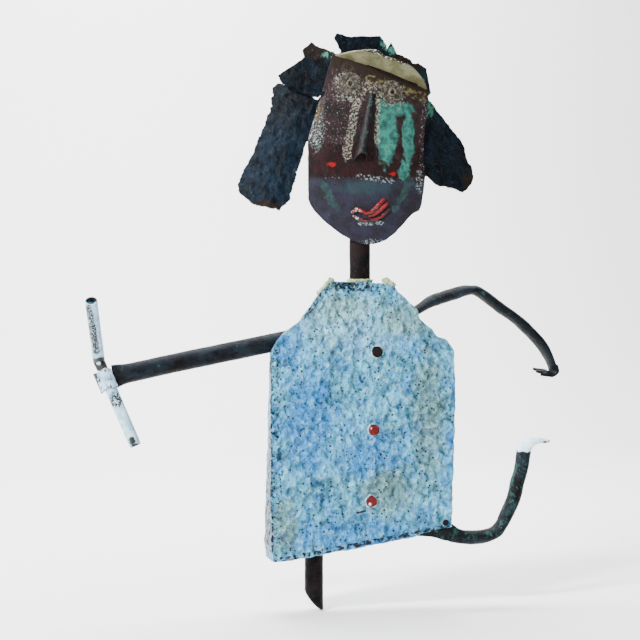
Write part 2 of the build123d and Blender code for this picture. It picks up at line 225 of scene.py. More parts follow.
def slab_from_grid(front, back):
    """A closed sheet between two grids of points with the same rows and columns."""
    mesh = bmesh.new()
    grids = [[[mesh.verts.new(point) for point in row] for row in grid] for grid in (front, back)]
    rows, columns = len(front), len(front[0])
    for grid in grids:
        for i in range(rows - 1):
            for j in range(columns - 1):
                mesh.faces.new((grid[i][j], grid[i][j + 1], grid[i + 1][j + 1], grid[i + 1][j]))
    rim = [(0, j) for j in range(columns)] + [(i, columns - 1) for i in range(1, rows)]
    rim += [(rows - 1, j) for j in range(columns - 2, -1, -1)] + [(i, 0) for i in range(rows - 2, 0, -1)]
    for (i, j), (k, l) in zip(rim, rim[1:] + rim[:1]):
        mesh.faces.new((grids[0][i][j], grids[0][k][l], grids[1][k][l], grids[1][i][j]))
    return mesh


# ---------- materials ----------

class Paint:
    """A procedural material whose patterns are placed in millimetres of the row frame."""

    def __init__(self, name):
        self.material = bpy.data.materials.new(name)
        self.material.use_nodes = True
        self.tree = self.material.node_tree
        self.shader = self.tree.nodes["Principled BSDF"]
        source = self.tree.nodes.new("ShaderNodeTexCoord")
        self.place = self.vector("SCALE", source.outputs["Object"], scale=1 / TO_METRES)
        turned_to = self.tree.nodes.new("ShaderNodeSeparateXYZ")
        self.join(source.outputs["Normal"], turned_to.inputs[0])
        self.facing = turned_to.outputs[1]
        parts = self.tree.nodes.new("ShaderNodeSeparateXYZ")
        self.join(self.place, parts.inputs[0])
        self.x, self.y, self.z = parts.outputs

    def join(self, value, socket):
        if isinstance(value, bpy.types.NodeSocket):
            self.tree.links.new(value, socket)
        elif isinstance(value, tuple) and len(value) == 3 and len(socket.default_value) == 4:
            socket.default_value = (*value, 1.0)
        else:
            socket.default_value = value

    def vector(self, operation, first, second=(0, 0, 0), scale=1.0):
        node = self.tree.nodes.new("ShaderNodeVectorMath")
        node.operation = operation
        self.join(first, node.inputs[0])
        if operation == "SCALE":
            self.join(scale, node.inputs["Scale"])
        else:
            self.join(second, node.inputs[1])
        return node.outputs[0]

    def sum(self, operation, first, second=0.5, clamp=False):
        node = self.tree.nodes.new("ShaderNodeMath")
        node.operation = operation
        node.use_clamp = clamp
        self.join(first, node.inputs[0])
        self.join(second, node.inputs[1])
        return node.outputs[0]

    def noise(self, size, detail=3.0, rough=0.6, seed=0.0, stretch=(1, 1, 1)):
        """Cloudy values from 0 to 1 whose lumps are about size millimetres."""
        spot = self.vector("MULTIPLY", self.place, stretch)
        spot = self.vector("ADD", spot, (seed * 31.7, seed * 17.3, seed * 23.9))
        node = self.tree.nodes.new("ShaderNodeTexNoise")
        self.join(spot, node.inputs["Vector"])
        node.inputs["Scale"].default_value = 1.0 / size
        node.inputs["Detail"].default_value = detail
        node.inputs["Roughness"].default_value = rough
        return node.outputs[0]

    def cells(self, size, seed=0.0, stretch=(1, 1, 1)):
        """The distance to the nearest of scattered points, 0 at each point."""
        spot = self.vector("MULTIPLY", self.place, stretch)
        spot = self.vector("ADD", spot, (seed * 13.1, seed * 41.9, seed * 7.7))
        node = self.tree.nodes.new("ShaderNodeTexVoronoi")
        self.join(spot, node.inputs["Vector"])
        node.inputs["Scale"].default_value = 1.0 / size
        return node.outputs["Distance"]

    def step(self, value, low, high):
        """0 below low and 1 above high, or the other way round if low is the larger."""
        node = self.tree.nodes.new("ShaderNodeMapRange")
        node.interpolation_type = "SMOOTHSTEP"
        flip = low > high
        self.join(value, node.inputs["Value"])
        node.inputs["From Min"].default_value = min(low, high)
        node.inputs["From Max"].default_value = max(low, high)
        node.inputs["To Min"].default_value = 1.0 if flip else 0.0
        node.inputs["To Max"].default_value = 0.0 if flip else 1.0
        return node.outputs[0]

    def spots(self, low, high, *shape):
        """Cloudy noise of that size, detail, roughness, seed and stretch, stepped between low and high."""
        return self.step(self.noise(*shape), low, high)

    def add(self, first, second):
        return self.sum("ADD", first, second)

    def mix(self, share, first, second):
        node = self.tree.nodes.new("ShaderNodeMix")
        node.data_type = "RGBA"
        self.join(share, node.inputs["Factor"])
        self.join(first, node.inputs["A"])
        self.join(second, node.inputs["B"])
        return node.outputs["Result"]

    def both(self, *shares):
        result = shares[0]
        for share in shares[1:]:
            result = self.sum("MULTIPLY", result, share)
        return result

    def either(self, *shares):
        result = shares[0]
        for share in shares[1:]:
            result = self.sum("MAXIMUM", result, share)
        return result

    def patch(self, x, z, half_x, half_z, ragged=0.5, size=9.0, soft=0.35, seed=0.0):
        """1 inside an oval of the XZ plane with a ragged edge, 0 outside it."""
        dx = self.sum("DIVIDE", self.sum("SUBTRACT", self.x, x), half_x)
        dz = self.sum("DIVIDE", self.sum("SUBTRACT", self.z, z), half_z)
        square = self.sum("ADD", self.sum("MULTIPLY", dx, dx), self.sum("MULTIPLY", dz, dz))
        edge = self.sum("SUBTRACT", self.noise(size, 4, 0.65, seed), 0.5)
        away = self.sum("ADD", self.sum("SQRT", square), self.sum("MULTIPLY", edge, ragged * 3))
        return self.step(away, 1 + soft / 2, 1 - soft / 2)

    def strip(self, x_low, z_low, x_high, z_high, half_width, ragged=0.5, size=6.0, seed=0.0):
        """1 near a straight line of the XZ plane with a ragged edge, 0 away from it."""
        run = Vector((x_high - x_low, 0, z_high - z_low))
        length = run.length
        run.normalize()
        spot = self.vector("SUBTRACT", self.place, (x_low, 0, z_low))
        along_node = self.tree.nodes.new("ShaderNodeVectorMath")
        along_node.operation = "DOT_PRODUCT"
        self.join(spot, along_node.inputs[0])
        along_node.inputs[1].default_value = run
        across_node = self.tree.nodes.new("ShaderNodeVectorMath")
        across_node.operation = "DOT_PRODUCT"
        self.join(spot, across_node.inputs[0])
        across_node.inputs[1].default_value = (-run.z, 0, run.x)
        along = along_node.outputs["Value"]
        past = self.sum("ABSOLUTE", self.sum("SUBTRACT", along, length / 2))
        past = self.sum("MAXIMUM", self.sum("SUBTRACT", past, length / 2), 0.0)
        away = self.sum("ADD", self.sum("ABSOLUTE", across_node.outputs["Value"]), past)
        edge = self.sum("SUBTRACT", self.noise(size, 4, 0.65, seed), 0.5)
        away = self.sum("ADD", self.sum("DIVIDE", away, half_width), self.sum("MULTIPLY", edge, ragged * 3))
        return self.step(away, 1.2, 0.8)

    def finish(self, colour, roughness, height, depth, metallic=0.0, coat=0.0, spec=0.5):
        """Joins colour, roughness and a bump whose height is in units of depth millimetres."""
        self.shader.inputs["Specular IOR Level"].default_value = spec
        self.join(colour, self.shader.inputs["Base Color"])
        self.join(roughness, self.shader.inputs["Roughness"])
        self.join(metallic, self.shader.inputs["Metallic"])
        if coat:
            self.shader.inputs["Coat Weight"].default_value = coat
            self.shader.inputs["Coat Roughness"].default_value = 0.25
        bump = self.tree.nodes.new("ShaderNodeBump")
        bump.inputs["Distance"].default_value = depth * TO_METRES
        bump.inputs["Strength"].default_value = 1.0
        self.join(height, bump.inputs["Height"])
        self.join(bump.outputs[0], self.shader.inputs["Normal"])
        return self.material


def dress_colours(p, lumps):
    """Clouds of blue, worn olive patches, painted shade in the hollows between the lumps and a painted
    highlight on the lump tops.
    """
    icy, sky, steel = (0.12, 0.50, 0.76), (0.006, 0.19, 0.60), (0.018, 0.070, 0.11)
    olive, pale, mid = (0.135, 0.205, 0.135), (0.42, 0.84, 0.88), (0.045, 0.23, 0.36)
    cloud = p.noise(34, 4, 0.6, 1)
    colour = p.mix(p.step(cloud, 0.36, 0.62), mid, icy)
    colour = p.mix(p.both(p.spots(0.47, 0.64, 17, 3, 0.6, 3), 0.55), colour, sky)
    blue = p.either(
        p.patch(-12, 205, 26, 62, 0.5, 16, 0.8, 4), p.patch(42, 66, 76, 17, 0.5, 14, 0.8, 5),
        p.patch(163, 178, 6, 16, 0.4, 8, 0.6, 6), p.patch(66, 296, 54, 14, 0.6, 18, 1.0, 7),
        p.patch(-34, 292, 18, 26, 0.6, 12, 1.0, 8), p.patch(60, 160, 40, 22, 0.8, 18, 1.0, 31),
    )
    colour = p.mix(p.both(blue, 0.62), colour, sky)
    worn = p.either(
        p.patch(136, 205, 19, 84, 0.5, 16, 0.9, 9), p.patch(-42, 80, 15, 34, 0.5, 12, 0.8, 10),
        p.patch(112, 322, 34, 20, 0.5, 12, 0.9, 11), p.patch(86, 118, 34, 26, 0.7, 20, 1.0, 12),
        p.patch(30, 335, 30, 16, 0.6, 14, 1.0, 32),
    )
    colour = p.mix(p.both(worn, 0.62), colour, olive)
    colour = p.mix(p.both(p.patch(40, 318, 62, 34, 0.6, 18, 1.0, 38), 0.35), colour, pale)
    # Painted shade: the hollows of the lumps are mixed towards steel. Painted highlight: the lump tops are
    # mixed towards pale.
    hollow_shade = p.step(lumps, 0.48, 0.34)
    colour = p.mix(p.both(hollow_shade, 0.55), colour, steel)
    colour = p.mix(p.both(p.step(lumps, 0.54, 0.68), 0.30), colour, pale)
    brushed = p.noise(6.5, 5, 0.7, 13)
    colour = p.mix(p.both(p.step(brushed, 0.54, 0.70), 0.45), colour, steel)
    colour = p.mix(p.both(p.step(brushed, 0.45, 0.33), 0.30), colour, pale)
    deep = p.either(
        p.patch(-48, 164, 3.4, 7.0, 0.9, 4, 0.5, 15), p.patch(-2, 129, 4.2, 3.6, 1.0, 4, 0.5, 16),
        p.patch(3, 112, 3.0, 6.5, 1.0, 4, 0.5, 17), p.patch(-40, 272, 2.6, 5.5, 1.1, 4, 0.5, 18),
    )
    return p.mix(p.both(deep, 0.9), colour, (0.005, 0.05, 0.12))


def dress_bare(p):
    """1 where the paint has gone: pits, chips, and the worn folds, hem, collar and shoulder seam."""
    pits = p.both(p.step(p.cells(5.4, 1), 0.27, 0.17), p.spots(0.44, 0.54, 19, 3, 0.6, 19))
    specks = p.both(p.step(p.cells(3.0, 2), 0.18, 0.09), p.spots(0.47, 0.57, 26, 3, 0.6, 20))
    chips = p.spots(0.65, 0.675, 3.6, 5, 0.8, 21)
    near_front = p.step(p.y, -10, -24)
    side = p.strip(-52, 60, -53, 290, 7.0, 0.5, 6, 33)
    side = p.both(side, p.spots(0.555, 0.58, 3.4, 4, 0.7, 34), near_front)
    fold = p.both(p.strip(-57, 50, -58, 290, 1.7, 0.5, 4, 22), p.spots(0.46, 0.51, 6, 3, 0.6, 23))
    hem = p.both(p.strip(-54, 40.5, 155, 73, 2.6, 0.5, 4, 24), p.spots(0.47, 0.52, 5, 3, 0.6, 25))
    collar = p.both(p.patch(44, 362, 24, 6, 0.7, 6, 0.4, 26), p.spots(0.44, 0.47, 5, 4, 0.7, 27))
    scratch = p.strip(46, 93, 56, 95.5, 1.2, 0.6, 3, 35)
    seam = p.both(p.strip(-22, 322, 18, 368, 4.5, 0.6, 4, 36), p.spots(0.50, 0.53, 2.8, 4, 0.7, 37))
    return p.either(pits, specks, chips, side, fold, hem, collar, scratch, seam)


def dress_enamel():
    p = Paint("dress_enamel")
    lumps = p.noise(8.5, 2, 0.5, 28)
    bare = dress_bare(p)
    colour = p.mix(bare, dress_colours(p, lumps), (0.006, 0.010, 0.016))
    # Painted shade: a dark blue line down the rounded right edge of the dress.
    edge = p.both(p.step(p.x, 167.0, 170.0), p.step(p.z, 110, 150))
    colour = p.mix(p.both(edge, 0.9), colour, (0.012, 0.11, 0.36))
    dimples = p.step(p.cells(9.5, 39), 0.10, 0.75)
    height = p.add(lumps, p.both(p.noise(3.6, 4, 0.65, 29), 0.42))
    height = p.add(height, p.both(dimples, 0.42))
    height = p.sum("SUBTRACT", height, p.both(bare, 0.22))
    gloss = p.add(p.both(p.noise(9, 3, 0.6, 30), 0.3), 0.24)
    return p.finish(colour, gloss, height, 15.0, spec=0.30)


def face_ground(p):
    """Maroon above, a dark red band below the nose and a mauve chin."""
    maroon, dark, mauve = (0.022, 0.010, 0.012), (0.008, 0.0045, 0.005), (0.015, 0.015, 0.028)
    colour = p.mix(p.spots(0.36, 0.64, 14, 4, 0.6, 1), dark, maroon)
    drift = p.both(p.sum("SUBTRACT", p.noise(13, 4, 0.6, 2), 0.5), 22.0)
    chin = p.step(p.add(p.z, drift), 496, 489)
    shade = p.mix(p.spots(0.36, 0.64, 16, 4, 0.6, 3), (0.010, 0.008, 0.012), mauve)
    colour = p.mix(chin, colour, shade)
    band = p.both(p.step(p.z, 489, 495), p.step(p.add(p.z, drift), 538, 530))
    red = p.mix(p.spots(0.38, 0.66, 9, 3, 0.6, 4), (0.005, 0.002, 0.0025), (0.016, 0.002, 0.003))
    return p.mix(p.both(band, p.spots(0.30, 0.44, 18, 4, 0.6, 5)), colour, red)


def face_paint():
    p = Paint("face_paint")
    turquoise, cream = (0.030, 0.150, 0.118), (0.24, 0.24, 0.19)
    colour = face_ground(p)
    green = p.mix(p.spots(0.35, 0.65, 8, 4, 0.65, 6), (0.010, 0.050, 0.045), turquoise)
    big = p.either(
        p.patch(88, 547, 13, 38, 0.40, 9, 0.25, 7), p.patch(116, 545, 7.5, 38, 0.5, 8, 0.3, 8),
        p.patch(100, 577, 22, 8, 0.5, 8, 0.4, 35), p.patch(110, 503, 7, 12, 0.7, 7, 0.4, 9),
    )
    stains = p.either(p.strip(8, 486, 26, 456, 4.5, 1.0, 8, 10), p.strip(120, 492, 98, 456, 4.5, 1.0, 8, 11))
    colour = p.mix(p.either(big, p.both(stains, 0.22)), colour, green)
    middle = p.patch(62, 481, 34, 8, 0.5, 9, 0.9, 13)
    colour = p.mix(p.both(middle, 0.5), colour, (0.016, 0.040, 0.047))
    fine = p.noise(2.3, 5, 0.8, 14)
    worn = face_fillets(p)
    colour = p.mix(p.both(worn, p.step(fine, 0.50, 0.56)), colour, cream)
    white = face_scrapings(p, fine)
    colour = p.mix(white, colour, (0.26, 0.34, 0.33))
    # Painted shadow of the visor: a dark brown band across the forehead under the visor's base line.
    visor_shadow = p.both(p.strip(24, 632, 140, 599, 10, 0.45, 8, 27), 0.9)
    colour = p.mix(visor_shadow, colour, (0.012, 0.007, 0.004))
    ochre = p.both(p.strip(66, 612, 138, 592, 5.5, 0.7, 6, 28), p.spots(0.45, 0.60, 5, 4, 0.65, 29))
    colour = p.mix(p.both(ochre, 0.8), colour, (0.13, 0.105, 0.045))
    dabs = p.either(p.patch(20, 508, 4.6, 2.6, 0.8, 4, 0.4, 30), p.patch(95, 498, 4.8, 2.4, 0.8, 4, 0.4, 31))
    colour = p.mix(dabs, colour, (0.20, 0.004, 0.005))
    pits = p.both(p.step(p.cells(3.6, 3), 0.20, 0.10), p.spots(0.44, 0.56, 15, 3, 0.6, 32))
    colour = p.mix(pits, colour, (0.006, 0.004, 0.004))
    behind = p.step(p.facing, 0.0, 0.4)
    plain = p.mix(p.spots(0.36, 0.64, 13, 4, 0.6, 38), (0.006, 0.004, 0.004), (0.020, 0.013, 0.011))
    colour = p.mix(behind, colour, plain)
    height = p.add(p.both(p.either(worn, white, big), 0.4), p.both(p.noise(2.8, 4, 0.7, 33), 0.6))
    height = p.sum("SUBTRACT", height, p.both(pits, 0.4))
    return p.finish(colour, p.add(p.both(p.noise(7, 3, 0.6, 34), 0.3), 0.33), height, 1.3, spec=0.18)


def face_fillets(p):
    """1 on the pale braze beside the nose, round the eyes and between them."""
    left_fillet = p.strip(52, 590, 38, 517, 5.0, 0.8, 6, 15)
    right_fillet = p.strip(77, 596, 75, 535, 3.2, 0.8, 6, 16)
    eyes = p.either(p.patch(42, 604, 18, 18, 0.9, 6, 0.7, 17), p.patch(95, 597, 16, 15, 0.9, 6, 0.7, 18))
    brow = p.patch(68, 603, 12, 8, 0.9, 6, 0.8, 37)
    return p.either(left_fillet, right_fillet, eyes, brow)


def face_scrapings(p, fine):
    """1 on the crumbs of white left along the face's edges, creases and colour breaks."""
    flange = p.both(p.patch(1, 553, 9, 26, 0.4, 7, 0.6, 19), p.step(fine, 0.50, 0.56))
    cheek = p.both(p.patch(24, 566, 26, 32, 0.4, 12, 0.9, 20), p.step(fine, 0.585, 0.62))
    under_nose = p.both(p.strip(52, 494, 94, 490, 3.2, 0.8, 5, 21), p.step(fine, 0.50, 0.56))
    right_edge = p.both(p.patch(131, 490, 5, 14, 0.5, 5, 0.5, 22), p.step(fine, 0.51, 0.57))
    right_line = p.both(p.strip(133, 500, 137, 598, 3.5, 0.5, 5, 23), p.step(fine, 0.56, 0.61))
    chin_tip = p.both(p.patch(70, 416, 14, 3.5, 0.5, 5, 0.5, 24), p.step(fine, 0.52, 0.57))
    band_edge = p.both(p.strip(8, 493, 110, 489, 1.6, 0.8, 5, 25), p.step(fine, 0.60, 0.64))
    below_mouth = p.both(p.strip(54, 438, 82, 439, 2.6, 0.6, 4, 36), p.step(fine, 0.49, 0.55))
    dust = p.both(p.spots(0.50, 0.64, 24, 3, 0.6, 26), p.step(fine, 0.665, 0.69))
    return p.either(
        flange, cheek, under_nose, right_edge, right_line, chin_tip, band_edge, below_mouth, dust
    )


def hair_patina():
    p = Paint("hair_patina")
    night, blue, teal = (0.0010, 0.0018, 0.0032), (0.0025, 0.0060, 0.0110), (0.007, 0.030, 0.026)
    brown = (0.012, 0.007, 0.004)
    colour = p.mix(p.spots(0.38, 0.62, 20, 4, 0.6, 1), night, blue)
    lower_left = p.both(p.step(p.x, 4, -20), p.step(p.z, 580, 530))
    bloom = p.spots(0.36, 0.62, 12, 4, 0.65, 2)
    colour = p.mix(p.both(lower_left, bloom, 0.8), colour, (0.005, 0.012, 0.023))
    # Painted highlight: pale blue streaks stretched along the sheets.
    highlight_streak = p.spots(0.55, 0.68, 3.6, 5, 0.75, 3, (1.0, 1.0, 0.3))
    colour = p.mix(p.both(highlight_streak, 0.6), colour, (0.010, 0.024, 0.033))
    green = p.spots(0.60, 0.68, 7, 5, 0.75, 4)
    colour = p.mix(p.both(green, 0.8), colour, teal)
    rust = p.either(
        p.patch(-60, 457, 24, 8, 0.7, 8, 0.6, 5), p.patch(4, 648, 20, 14, 0.5, 7, 0.5, 6),
        p.patch(204, 492, 8, 16, 0.6, 7, 0.6, 7), p.patch(110, 634, 36, 9, 0.5, 8, 0.6, 8),
    )
    colour = p.mix(p.both(rust, 0.8), colour, brown)
    bright = p.either(
        p.patch(17, 640, 8, 5, 0.6, 5, 0.5, 9), p.patch(95, 652, 9, 8, 0.4, 5, 0.5, 10),
        p.patch(86, 658, 5, 8, 0.7, 5, 0.5, 11), p.patch(145, 585, 6, 15, 0.8, 5, 0.5, 12),
    )
    colour = p.mix(p.both(bright, p.spots(0.40, 0.52, 4, 4, 0.65, 13)), colour, (0.045, 0.15, 0.12))
    flecks = p.spots(0.665, 0.70, 1.9, 4, 0.75, 14)
    colour = p.mix(p.both(flecks, 0.7), colour, (0.12, 0.18, 0.19))
    height = p.add(p.noise(7, 4, 0.6, 15), p.both(p.noise(2, 3, 0.7, 16), 0.3))
    gloss = p.add(p.both(p.noise(8, 3, 0.6, 17), 0.4), 0.2)
    return p.finish(colour, gloss, height, 2.6, spec=0.08)


def tube_patina(name, slate, green, seed):
    """Dark brown oxide on copper, with shares of slate-blue bloom and verdigris."""
    p = Paint(name)
    base = (0.011 - 0.006 * slate, 0.006 + 0.001 * slate, 0.006 + 0.004 * slate)
    colour = p.mix(p.spots(0.38, 0.62, 15, 4, 0.6, seed), (0.003, 0.0025, 0.003), base)
    bloom = p.spots(0.68 - 0.26 * slate, 0.80 - 0.24 * slate, 20, 5, 0.7, seed + 1, (0.5, 1, 1))
    colour = p.mix(p.both(bloom, 0.85), colour, (0.009, 0.015, 0.021))
    crust = p.spots(0.74 - 0.22 * green, 0.80 - 0.18 * green, 9, 5, 0.75, seed + 2)
    colour = p.mix(p.both(crust, 0.8), colour, (0.018, 0.068, 0.060))
    bright = p.spots(0.73 - 0.11 * green, 0.77 - 0.10 * green, 4.2, 5, 0.75, seed + 3)
    colour = p.mix(p.both(bright, 0.85), colour, (0.045, 0.16, 0.13))
    flecks = p.spots(0.70, 0.73, 1.8, 4, 0.75, seed + 4)
    colour = p.mix(flecks, colour, (0.14, 0.21, 0.20))
    scuffs = p.spots(0.63, 0.72, 1.5, 3, 0.7, seed + 5, (0.2, 1, 1))
    colour = p.mix(p.both(scuffs, 0.4), colour, (0.045, 0.030, 0.028))
    height = p.add(p.both(p.noise(3, 4, 0.65, seed + 6), 0.8), p.both(crust, 0.3))
    gloss = p.add(p.both(p.noise(7, 3, 0.6, seed + 7), 0.30), p.both(crust, 0.15))
    return p, colour, p.add(gloss, 0.36), height


def plain_patina(name, slate, green, seed):
    p, colour, gloss, height = tube_patina(name, slate, green, seed)
    return p.finish(colour, gloss, height, 1.2, spec=0.06)


def right_arm_finish():
    """Blue-black and verdigris on the upper arm, nearly black past the elbow."""
    p, colour, gloss, height = tube_patina("right_arm_patina", 0.9, 0.8, 31)
    colour = p.mix(p.both(p.step(p.x, 202, 226), 0.7), colour, (0.002, 0.003, 0.004))
    return p.finish(colour, gloss, height, 1.2, spec=0.06)


def kicking_leg_finish():
    p, colour, gloss, height = tube_patina("kicking_leg_patina", 0.9, 1.0, 41)
    ragged = p.both(p.sum("SUBTRACT", p.noise(3.4, 3, 0.6, 49), 0.5), 11.0)
    shoe = p.both(p.step(p.add(p.z, ragged), 160.4, 161.2), p.step(p.x, 246, 247))
    holes = p.either(
        p.patch(284, 172, 3.0, 1.8, 0.6, 3, 0.3, 50), p.patch(290, 174, 1.6, 1.6, 0.6, 3, 0.3, 51),
    )
    shoe = p.both(shoe, p.sum("SUBTRACT", 1.0, holes))
    white = p.mix(p.spots(0.35, 0.65, 9, 4, 0.6, 52), (0.40, 0.72, 0.88), (0.80, 0.92, 0.95))
    colour = p.mix(shoe, colour, white)
    height = p.add(height, p.both(shoe, 0.8))
    return p.finish(colour, p.add(gloss, p.both(shoe, 0.08)), height, 1.2, spec=0.06)


def flaking_white(name, flakes, seed):
    """White paint over dark copper. flakes(p) gives where it has come off."""
    p = Paint(name)
    tint = p.mix(p.spots(0.35, 0.65, 9, 4, 0.6, seed), (0.20, 0.37, 0.50), (0.44, 0.62, 0.73))
    tint = p.mix(p.both(p.spots(0.56, 0.70, 4, 4, 0.7, seed + 1), 0.5), tint, (0.14, 0.24, 0.36))
    brown, green = (0.008, 0.005, 0.004), (0.020, 0.028, 0.028)
    bare = p.mix(p.spots(0.42, 0.6, 4, 4, 0.6, seed + 2), brown, green)
    gone = flakes(p)
    colour = p.mix(gone, tint, bare)
    left = p.sum("SUBTRACT", 1.0, gone)
    height = p.add(p.both(left, 0.3), p.both(p.noise(2.4, 3, 0.6, seed + 3), 0.4))
    gloss = p.add(p.both(p.noise(5, 3, 0.6, seed + 4), 0.25), 0.34)
    return p.finish(colour, gloss, height, 0.6, spec=0.3)


def stick_flakes(p):
    crumb = p.noise(2.6, 5, 0.75, 61)
    run = p.both(p.strip(-273, 336, -261, 286, 3.6, 0.6, 6, 62), p.step(crumb, 0.43, 0.47))
    spot = p.patch(-258, 273, 2.4, 2.0, 0.4, 3, 0.3, 68)
    bend = p.both(p.patch(-257, 272, 12, 8, 0.3, 5, 0.2, 63), p.sum("SUBTRACT", 1.0, spot))
    low = p.both(p.patch(-240, 232, 7, 9, 0.5, 5, 0.4, 64), p.step(crumb, 0.46, 0.50))
    tip = p.patch(-222, 186, 3.0, 5.0, 0.9, 4, 0.4, 65)
    rim = p.either(p.step(p.z, 341.0, 342.5), p.patch(-218, 180, 6, 3.0, 0.4, 3, 0.3, 67))
    stray = p.spots(0.70, 0.72, 3.2, 4, 0.7, 66)
    return p.either(run, bend, low, tip, stray, rim)


def hand_flakes(p):
    crumb = p.noise(3.0, 4, 0.7, 71)
    edge = p.add(p.y, p.both(p.sum("SUBTRACT", crumb, 0.5), 8.0))
    stray = p.spots(0.66, 0.69, 2.6, 4, 0.7, 72)
    streaks = p.spots(0.56, 0.60, 3.0, 4, 0.7, 73, (1.0, 1.0, 0.35))
    return p.either(p.step(edge, -33.0, -31.0), stray, streaks)


def nose_finish():
    """Dark olive oxide, with painted shade at the open end, where the inside of the channel shows near-black.
    """
    p, colour, gloss, height = tube_patina("nose_patina", 0.3, 0.8, 101)
    # Painted shade: a near-black patch at the open end of the channel, for its shaded inside.
    colour = p.mix(p.patch(54, 507, 12, 6, 0.2, 4, 0.5, 109), colour, (0.002, 0.0015, 0.0015))
    return p.finish(colour, gloss, height, 1.2, spec=0.2)


def cream_visor():
    p = Paint("visor_paint")
    cream = p.mix(p.spots(0.35, 0.65, 15, 4, 0.6, 1), (0.085, 0.085, 0.036), (0.18, 0.178, 0.098))
    cream = p.mix(p.both(p.spots(0.56, 0.70, 5, 4, 0.7, 2), 0.4), cream, (0.07, 0.062, 0.028))
    cream = p.mix(p.both(p.step(p.y, -22, -6), 0.7), cream, (0.060, 0.042, 0.014))
    ragged = p.both(p.sum("SUBTRACT", p.noise(6, 4, 0.7, 3), 0.5), 14.0)
    edge = p.step(p.add(p.y, ragged), -31.0, -35.0)
    chips = p.both(edge, p.spots(0.46, 0.50, 3.4, 4, 0.7, 5))
    colour = p.mix(chips, cream, (0.008, 0.005, 0.005))
    flecks = p.both(edge, p.spots(0.57, 0.60, 2.6, 4, 0.7, 8))
    colour = p.mix(flecks, colour, (0.66, 0.66, 0.58))
    colour = p.mix(p.spots(0.68, 0.71, 2.2, 4, 0.7, 6), colour, (0.03, 0.022, 0.017))
    height = p.sum("SUBTRACT", p.noise(4, 4, 0.6, 7), p.both(chips, 0.5))
    return p.finish(colour, 0.5, height, 0.6, spec=0.3)


def worn_cream(name, seed, share):
    """Cream paint worn through to dark copper; share sets how much of it is left."""
    p = Paint(name)
    colour = p.mix(p.spots(0.36, 0.62, 5, 4, 0.65, seed), (0.030, 0.026, 0.018), (0.12, 0.115, 0.085))
    gone = p.spots(share, share + 0.05, 2.4, 5, 0.8, seed + 1)
    colour = p.mix(gone, colour, (0.016, 0.010, 0.008))
    height = p.noise(1.8, 4, 0.7, seed + 2)
    gloss = p.add(p.both(p.noise(3, 3, 0.6, seed + 3), 0.3), 0.4)
    return p.finish(colour, gloss, height, 0.8, spec=0.3)


def lip_red(name, seed, share):
    """Red enamel broken by black lines, with scraps of white."""
    p = Paint(name)
    red = p.mix(p.spots(0.4, 0.6, 5, 3, 0.6, seed), (0.10, 0.002, 0.004), (0.24, 0.004, 0.008))
    black = p.spots(share, share + 0.04, 3.4, 4, 0.75, seed + 1, (0.35, 1, 1.6))
    colour = p.mix(black, red, (0.006, 0.005, 0.005))
    scraps = p.both(p.step(p.x, 60, 50), p.spots(0.52, 0.57, 2.4, 4, 0.7, seed + 2))
    colour = p.mix(scraps, colour, (0.40, 0.44, 0.44))
    return p.finish(colour, 0.3, p.noise(1.8, 4, 0.65, seed + 3), 0.6, coat=0.2, spec=0.3)


def button_red():
    p = Paint("button_red")
    colour = p.mix(p.spots(0.4, 0.62, 4, 4, 0.6, 1), (0.055, 0.001, 0.002), (0.125, 0.002, 0.003))
    colour = p.mix(p.spots(0.60, 0.66, 2.2, 4, 0.7, 2), colour, (0.018, 0.006, 0.006))
    chip = p.either(
        p.patch(60.5, 103.5, 1.7, 1.6, 0.8, 2, 0.3, 3), p.patch(63, 193, 0.8, 1.2, 0.9, 2, 0.3, 4),
    )
    colour = p.mix(chip, colour, (0.55, 0.66, 0.66))
    return p.finish(colour, 0.42, p.noise(1.8, 4, 0.65, 5), 0.6, spec=0.25)


def rim_paint():
    """The pale lip of paint round each button."""
    p = Paint("rim_paint")
    colour = p.mix(p.spots(0.40, 0.60, 3, 4, 0.65, 1), (0.10, 0.32, 0.44), (0.42, 0.66, 0.70))
    colour = p.mix(p.spots(0.56, 0.60, 2.0, 4, 0.75, 2), colour, (0.010, 0.014, 0.018))
    return p.finish(colour, 0.4, p.noise(1.8, 4, 0.7, 3), 0.7, spec=0.3)


def weld_cream():
    p = Paint("weld_cream")
    colour = p.mix(p.spots(0.38, 0.62, 6, 4, 0.65, 1), (0.13, 0.19, 0.09), (0.42, 0.50, 0.30))
    colour = p.mix(p.spots(0.54, 0.66, 9, 3, 0.6, 2), colour, (0.22, 0.42, 0.48))
    colour = p.mix(p.spots(0.58, 0.64, 2.6, 4, 0.75, 3), colour, (0.018, 0.018, 0.012))
    height = p.add(p.noise(2.6, 4, 0.7, 4), p.both(p.noise(7, 2, 0.5, 5), 1.0))
    return p.finish(colour, 0.42, height, 1.2, spec=0.35)


def bare_braze():
    p = Paint("bare_braze")
    colour = p.mix(p.spots(0.38, 0.62, 5, 4, 0.6, 1), (0.045, 0.028, 0.012), (0.11, 0.075, 0.03))
    colour = p.mix(p.spots(0.52, 0.64, 3, 4, 0.7, 2), colour, (0.02, 0.014, 0.010))
    return p.finish(colour, 0.5, p.noise(2, 4, 0.7, 3), 0.8, metallic=0.7)


# ---------- the dress ----------

BUTTONS = {"button_top": (72, 284), "button_middle": (67, 191), "button_bottom": (63, 106.5)}
RIVET = (155, 78.5)
NECK_X = 56.8
FRONT_Y_AT_ZERO = -34.4
FRONT_SLOPE = 0.0403


def front_y(z):
    return FRONT_Y_AT_ZERO + FRONT_SLOPE * z


def calm_near_fittings(x, z):
    """0 at the buttons and the rivet, where the sheet stays flat, and 1 away from them."""
    gaps = [math.hypot(x - px, z - pz) for px, pz in (*BUTTONS.values(), RIVET)]
    return ramp(min(gaps), 6, 15)


